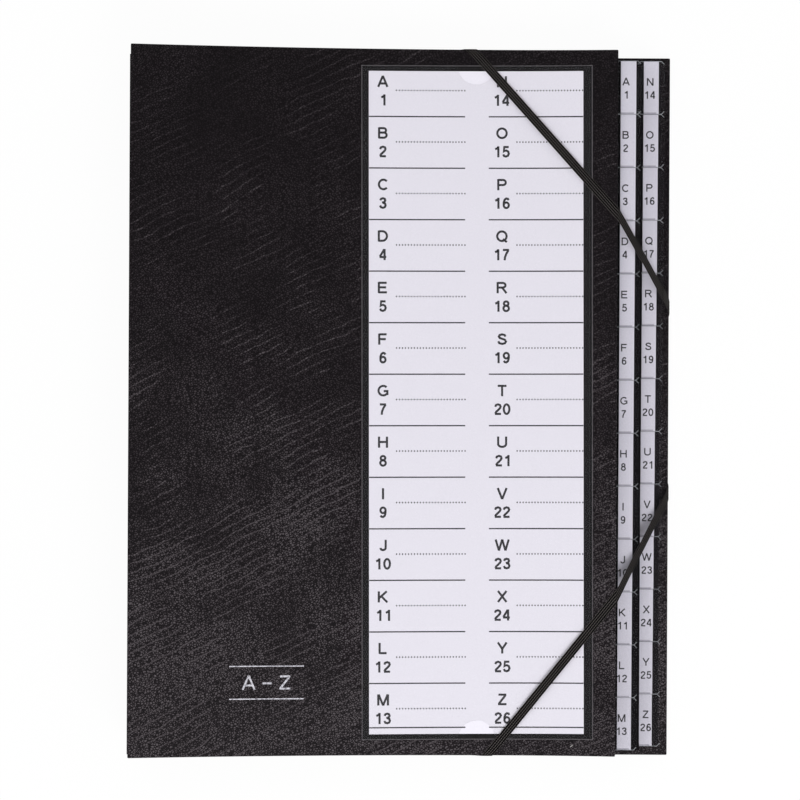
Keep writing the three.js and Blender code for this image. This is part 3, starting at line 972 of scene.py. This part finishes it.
pocket_bm = box_bmesh((pocket_low.x, pocket_low.y, POCKET_RISE),
                      (pocket_high.x, pocket_high.y, POCKET_RISE + POCKET_FILM))
cut_across(pocket_bm, pocket_low.x, pocket_high.x, BEND_STEP)
pocket = add_piece("pocket_film", pocket_bm, pocket_film, "front_cover",
                   ["card_pocket"])
cutters = []
for y in (pocket_low.y, pocket_high.y):
    cutter_bm = bmesh.new()
    bmesh.ops.create_cone(cutter_bm, cap_ends=True, segments=THUMB_SIDES,
                          radius1=THUMB_RADIUS, radius2=THUMB_RADIUS, depth=THUMB_DEEP)
    bmesh.ops.translate(cutter_bm, vec=(THUMB_X, y, 0), verts=cutter_bm.verts)
    cutters.append(cutter_bm)
carve(pocket, cutters)
flat_bm = bmesh.new()
flat_bm.from_mesh(pocket.data)
askew(flat_bm)
bend(flat_bm, cover_top)
flat_bm.to_mesh(pocket.data)
flat_bm.free()
smooth(pocket)
# The sides of the pocket film get the painted glint.
pocket.data.materials.append(film_edge_glint)
for face in pocket.data.polygons:
    if abs(face.normal.z) < 0.5:
        face.material_index = 1
print("pocket, mm", in_mm(pocket_high - pocket_low))

# %% [markdown]
# Weld of the pocket. It is a narrow smooth black line, partly painted shade of its
# groove, and the cover's skin stands up a little beside it, with a fine light line of
# painted highlight. A smooth black sheet lies behind the card.

# %% Pocket weld
WELD = 1.2 * MM
RIDGE = 0.35 * MM
# The ridge's light grey is a painted highlight.
ridge_highlight = make_card("painted highlight on leatherette ridge", "#4a474a", "#757175", 0.9 * MM, 0.4,
                       0.05 * MM)
# The weld's black is partly the smooth weld and partly painted shade of its groove.
weld_black = mottled("black weld line with painted groove shade", 1.5 * MM, 2, [(0.3, "#050405"), (0.7, "#141214")],
                     Roughness=0.3, Specular_IOR_Level=0.15)


def frame_strip(name, inset, width, low_z, high_z, material):
    """A flat rectangular frame that follows the pocket's edge."""
    bm = bmesh.new()
    x0, x1 = pocket_low.x + inset, pocket_high.x - inset
    y0, y1 = pocket_low.y + inset, pocket_high.y - inset
    bars = [
        ((x0, y0), (x0 + width, y1)),
        ((x1 - width, y0), (x1, y1)),
        ((x0 + width, y0), (x1 - width, y0 + width)),
        ((x0 + width, y1 - width), (x1 - width, y1)),
    ]
    for near, far in bars:
        add_box(bm, (*near, low_z), (*far, high_z))
    lay(bm, x0, x1)
    add_piece(name, bm, material, "front_cover")


behind_bm = box_bmesh((pocket_low.x + WELD, pocket_low.y + WELD, 0.01 * MM),
                      (pocket_high.x - WELD, pocket_high.y - WELD, 0.03 * MM))
lay(behind_bm, pocket_low.x, pocket_high.x)
add_piece("pocket_back", behind_bm, weld_black, "front_cover")
frame_strip("pocket_weld", 0.0, WELD, 0.02 * MM, 0.3 * MM, weld_black)
frame_strip("pocket_ridge", -RIDGE, RIDGE, -0.2 * MM, 0.16 * MM, ridge_highlight)
print("weld, mm", WELD / MM)

# %% [markdown]
# Ways of the elastics. Each band comes down out of a slot, runs out under the back cover,
# up over the end edges, across the corner, down over the tabs, and in under the back
# cover's free edge to its other slot. Its place on the end edge is given from the spine,
# and on the free edges from the back cover's middle.

# %% Places of the elastics
BAND_WIDTH = 4 * MM
BAND_THICK = 0.8 * MM
SLOT_INSET = 11 * MM
BAND_LIFT = 0.45 * MM
POCKET_TOP = 1.0 * MM
TOP_BAND = {"end": 155.6 * MM, "free": 88.5 * MM, "back": 46.9 * MM}
BOTTOM_BAND = {"end": 164.3 * MM, "free": -87.7 * MM, "back": -40.8 * MM}
SLOT_PLAY = 0.35 * MM
UNDER_RUN = 3 * MM
TURN_RUN = 2 * MM
LIP_ROUND = 0.4 * MM


def tab_seat(column, y, half):
    """The height of the highest tab that the band crosses at y in a column."""
    boxes = [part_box(f"tab_{LETTERS[column * ROWS + row]}") for row in range(ROWS)]
    return max(high.z for low, high in boxes if low.y < y + half and high.y > y - half)


print("bands", BAND_WIDTH / MM, "mm wide")

# %% [markdown]
# A band's way is a row of cross lines. They lie along X at its end edge, and along Y at
# its free edges. way is 1 for the upper band and -1 for the lower one.


# %% Ways of the elastics
def band_lines(end, free, back, way):
    end_x = spine_x + end
    free_y = back_mid_y + free
    back_y = back_mid_y + back
    front_edge = front_high.y if way > 0 else front_low.y
    back_edge = back_high.y if way > 0 else back_low.y
    run = Vector((free_x - end_x, free_y - front_edge)).normalized()
    half_x = BAND_WIDTH / 2 / abs(run.y)
    half_y = BAND_WIDTH / 2 / abs(run.x)
    lean = abs(run.x / run.y)
    lip = cover_top(end_x)
    back_x = end_x - (lip - back_low.z) * lean
    slot_x = back_x - SLOT_INSET * lean
    slot_y = back_edge - way * SLOT_INSET
    under = back_low.z - CLEAR
    slot_top = back_high.z - CLEAR
    lines = []

    def along_x(x, y, z):
        lines.append((Vector((x + way * half_x, y, z)), Vector((x - way * half_x, y, z))))

    def along_y(x, y, z):
        lines.append((Vector((x, y + half_y, z)), Vector((x, y - half_y, z))))

    in_slot = slot_y + way * BAND_THICK / 2
    for z in (slot_top, back_low.z):
        along_x(slot_x, in_slot, z)
    for out in (CLEAR, UNDER_RUN):
        along_x(slot_x + lean * out, in_slot + way * out, under)
    along_x(back_x - lean * TURN_RUN, back_edge - way * TURN_RUN, under)
    along_x(back_x, back_edge + way * 0.2 * MM, under)
    along_x(back_x + lean * MM, back_edge + way * CLEAR, back_low.z + MM)
    for drop in (2.5 * MM, LIP_ROUND):
        along_x(end_x - lean * drop, front_edge + way * CLEAR, lip - drop)
    along_x(end_x, front_edge - way * LIP_ROUND, lip + CLEAR)
    along_x(end_x + lean * TURN_RUN, front_edge - way * TURN_RUN, lip + 1.4 * CLEAR)
    pocket_edge = (pocket_high.y + MM) if way > 0 else (pocket_low.y - MM)
    along = abs(pocket_edge - front_edge) * lean
    along_x(end_x + along, pocket_edge, cover_top(end_x + along) + POCKET_TOP)
    free_z = cover_top(free_x) + BAND_LIFT
    along_y(free_x - 4 * MM, free_y + way * 4 * MM / lean, free_z - 0.05 * MM)
    along_y(free_x - 0.5 * MM, free_y + way * 0.5 * MM / lean, free_z)
    along_y(free_x + LIP_ROUND, free_y, free_z - CLEAR)
    slope = (back_y - free_y) / (back_high.x - free_x)
    for column in range(2):
        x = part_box(f"tab_{LETTERS[column * ROWS]}")[1].x + CLEAR
        y = free_y + slope * (x - free_x)
        straight = free_z - (free_z - back_high.z) * (x - free_x) / (back_high.x - free_x)
        z = max(straight, tab_seat(column, y, half_y) + CLEAR)
        along_y(x - MM, y - slope * MM, z + 0.35 * MM)
        along_y(x + 0.2 * MM, y, z)
    along_y(back_high.x + CLEAR, back_y, back_high.z)
    along_y(back_high.x + CLEAR, back_y - way * 0.6 * board, back_low.z + 0.6 * MM)
    along_y(back_high.x - 0.2 * MM, back_y - way * (board + CLEAR), under)
    along_y(back_high.x - TURN_RUN, back_y - way * (board + TURN_RUN), under)
    free_slot_x = back_high.x - SLOT_INSET
    free_slot_y = back_y - way * (board + SLOT_INSET / lean)
    in_free_slot = free_slot_x + BAND_THICK / 2
    along_y(in_free_slot + UNDER_RUN, free_slot_y + way * UNDER_RUN / lean, under)
    along_y(in_free_slot + CLEAR, free_slot_y, under)
    for z in (back_low.z, slot_top):
        along_y(in_free_slot, free_slot_y, z)
    slots = [
        (slot_x, slot_y, half_x + SLOT_PLAY, BAND_THICK / 2 + SLOT_PLAY),
        (free_slot_x, free_slot_y, BAND_THICK / 2 + SLOT_PLAY, half_y + SLOT_PLAY),
    ]
    return lines, slots


print("slots are cut", SLOT_INSET / MM, "mm in from the edges")

# %% [markdown]
# Bands. The way is rounded off by cutting its corners twice, and a ribbed grid is laid
# along it and given its thickness. Real bands are slipped off before the block is lifted
# off the back cover, and here they ride on the back cover. Their slots are cut into the back
# board.

# %% Bands
ACROSS = 24
RIB_RISE = 0.07 * MM
BAND_STEP = 1.2 * MM
SLOT_SKIN = 0.2 * MM


def rounded(lines, times=2):
    """Cuts the way's corners at a quarter and at three quarters."""
    for _ in range(times):
        cut = [lines[0]]
        for (la, ra), (lb, rb) in zip(lines, lines[1:]):
            cut.append((la.lerp(lb, 0.25), ra.lerp(rb, 0.25)))
            cut.append((la.lerp(lb, 0.75), ra.lerp(rb, 0.75)))
        lines = cut + [lines[-1]]
    return lines


def resampled(lines, step):
    """Cross lines at most a step apart, and the distance along to each."""
    out, travelled, distance = [lines[0]], [0.0], 0.0
    for (la, ra), (lb, rb) in zip(lines, lines[1:]):
        length = ((lb + rb) / 2 - (la + ra) / 2).length
        count = max(1, math.ceil(length / step))
        for i in range(1, count + 1):
            out.append((la.lerp(lb, i / count), ra.lerp(rb, i / count)))
            travelled.append(distance + length * i / count)
        distance += length
    return out, travelled


def make_band(name, node, spec, way):
    lines, slots = band_lines(way=way, **spec)
    lines, travelled = resampled(rounded(lines), BAND_STEP)
    rows = len(lines)
    bm = bmesh.new()
    uv = bm.loops.layers.uv.new("UVMap")
    bmesh.ops.create_grid(bm, x_segments=rows - 1, y_segments=ACROSS, size=0.5)
    outs = []
    for i in range(rows):
        before, after = lines[max(i - 1, 0)], lines[min(i + 1, rows - 1)]
        tangent = (after[0] + after[1]) - (before[0] + before[1])
        outs.append(tangent.cross(lines[i][0] - lines[i][1]).normalized())
    where = {}
    for vertex in bm.verts:
        i = round((vertex.co.x + 0.5) * (rows - 1))
        across = vertex.co.y + 0.5
        where[vertex] = (across, travelled[i])
        left, right = lines[i]
        rib = RIB_RISE * abs(math.sin(math.pi * RIBS * across))
        vertex.co = left.lerp(right, across) + outs[i] * rib
    for face in bm.faces:
        for loop in face.loops:
            loop[uv].uv = where[loop.vert]
    bmesh.ops.solidify(bm, geom=list(bm.faces), thickness=BAND_THICK)
    for vertex in bm.verts:
        vertex.co.z = max(vertex.co.z, 0)
    print(name, "length, mm", round(travelled[-1] / MM))
    band = smooth(add_piece(name, bm, braid, "back_cover", [node]), 60)
    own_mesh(band)
    return slots


slots = make_band("elastic_band_top", "elastic_top", TOP_BAND, 1)
slots += make_band("elastic_band_bottom", "elastic_bottom", BOTTOM_BAND, -1)
carve(back_board, [
    box_bmesh((x - half_x, y - half_y, back_low.z - MM),
              (x + half_x, y + half_y, back_high.z - SLOT_SKIN))
    for x, y, half_x, half_y in slots])
smooth(back_board)

# %% [markdown]
# A foil stamp low on the front cover tells what the sorter is for: A to Z between two
# fine rules. It is generic, and sits where such covers carry their stamping.

# %% Foil stamp
STAMP_X = -62 * MM
STAMP_Y = -128 * MM
STAMP_CAP = 6.5 * MM
STAMP_WIDTH = 34 * MM
STAMP_WEIGHT = 0.13
FOIL_RULE = 0.5 * MM
FOIL_THICK = 0.02 * MM
RULE_AWAY = 7.5 * MM
stamp_bm = lettering([("A - Z", STAMP_X, STAMP_Y)], STAMP_CAP, STAMP_WEIGHT)
for y in (STAMP_Y - RULE_AWAY, STAMP_Y + RULE_AWAY):
    add_box(stamp_bm, (STAMP_X - STAMP_WIDTH / 2, y - FOIL_RULE / 2, FOIL_THICK / 2),
            (STAMP_X + STAMP_WIDTH / 2, y + FOIL_RULE / 2, FOIL_THICK * 3 / 2))
cut_across(stamp_bm, STAMP_X - STAMP_WIDTH / 2, STAMP_X + STAMP_WIDTH / 2, BEND_STEP)
bend(stamp_bm, lambda x: cover_top(x) + FOIL_THICK / 2)
add_piece("foil_stamp", stamp_bm, foil, "front_cover")
print("stamp width, mm", STAMP_WIDTH / MM)

# %% [markdown]
# A short pale nick near the front cover's lower right corner, where the skin is rubbed
# through to the grey board under it.

# %% Nick
NICK_PLACE = (78.4 * MM, -156.9 * MM)
NICK_SIZE = (2.1 * MM, 0.35 * MM, 0.06 * MM)
NICK_TURN = math.radians(40)
bare_board = make_card("bare grey board", "#8f8c8a", "#b9b6b3", 0.5 * MM, 0.6, 0.02 * MM)
half_nick = Vector(NICK_SIZE) / 2
nick_bm = box_bmesh(-half_nick, half_nick)
turned = Matrix.Translation((*NICK_PLACE, cover_top(NICK_PLACE[0])))
turned = turned @ Matrix.Rotation(NICK_TURN, 4, "Z")
bmesh.ops.transform(nick_bm, matrix=turned, verts=nick_bm.verts)
add_piece("cover_nick", nick_bm, bare_board, "front_cover")
print("nick length, mm", NICK_SIZE[0] / MM)

# %% [markdown]
# Floor. Camera, glossy and transmission rays see almost only its own white glow, so just a
# trace of the sorter's shadow shows. Other rays meet pale paper, which lights the sorter.


# %% Floor
FLOOR_HALF = 4
FLOOR_GLOW = 0.95


def seen_share(tree):
    """1 for camera, glossy and transmission rays, 0 for the light that reaches surfaces."""
    rays = add_node(tree, "ShaderNodeLightPath").outputs
    seen = maths(tree, "MAXIMUM", rays["Is Camera Ray"], rays["Is Glossy Ray"])
    return maths(tree, "MAXIMUM", seen, rays["Is Transmission Ray"])


floor_bm = bmesh.new()
bmesh.ops.create_grid(floor_bm, x_segments=1, y_segments=1, size=FLOOR_HALF)
floor = put("floor", mesh_from(floor_bm, "floor"))
paper_white, floor_shader = new_material("white paper floor", Roughness=0.9,
                                         Base_Color=srgb("#f4f4f4"))
floor_tree = floor_shader.id_data
glow = add_node(floor_tree, "ShaderNodeEmission", sockets={"Color": (1, 1, 1, 1), "Strength": 1})
share = maths(floor_tree, "MULTIPLY", seen_share(floor_tree), FLOOR_GLOW)
mixed = add_node(floor_tree, "ShaderNodeMixShader",
                 {0: share, 1: floor_shader.outputs[0], 2: glow.outputs[0]})
floor_tree.links.new(mixed.outputs[0], floor_tree.nodes["Material Output"].inputs["Surface"])
floor.data.materials.append(paper_white)
print("floor is", 2 * FLOOR_HALF, "m square")

# %% [markdown]
# Light. The sky is white to the same rays and dimmer to the others. A soft lamp beyond the
# lower right corner is the brighter one, and a weaker one fills from the upper left.

# %% Light
SKY = 0.7
world = bpy.data.worlds.new("studio")
bpy.context.scene.world = world
world.use_nodes = True
sky_tree = world.node_tree
sky = sky_tree.nodes["Background"]
sky.inputs["Color"].default_value = (1, 1, 1, 1)
strength = add_node(sky_tree, "ShaderNodeMapRange", {"Value": seen_share(sky_tree)},
                    {"To Min": SKY, "To Max": 1.0})
sky_tree.links.new(strength.outputs["Result"], sky.inputs["Strength"])


def add_lamp(name, place, aim, size, watts):
    data = bpy.data.lights.new(name, "AREA")
    data.shape = "SQUARE"
    data.size = size
    data.energy = watts
    lamp = put(name, data)
    lamp.location = place
    lamp.rotation_euler = (Vector(aim) - Vector(place)).to_track_quat("-Z", "Y").to_euler()
    print(name, "lamp,", watts, "W")


add_lamp("key", (0.35, -0.85, 1.15), (0, -0.05, 0), 0.6, 9.0)
add_lamp("fill", (-0.9, 0.7, 1.2), (0, 0, 0), 1.0, 3.0)

# %% [markdown]
# The camera looks straight down from about a metre and a half, turned by a little over a
# quarter of a degree. Its distance was fitted together with the stack's guessed heights.

# %% Camera
CAMERA_PLACE = (-1.55 * MM, 1.74 * MM, 1478 * MM)
PIXELS = 800
FOCAL_PIXELS = 3160
ROLL = math.radians(0.286)
SENSOR = 36
camera_data = bpy.data.cameras.new("camera")
camera_data.sensor_width = SENSOR
camera_data.lens = FOCAL_PIXELS / PIXELS * SENSOR
camera = put("camera", camera_data)
camera.location = CAMERA_PLACE
camera.rotation_euler = (0, 0, ROLL)
bpy.context.scene.camera = camera
bpy.context.scene.view_settings.view_transform = "Standard"
print("lens, mm", round(camera_data.lens, 1))
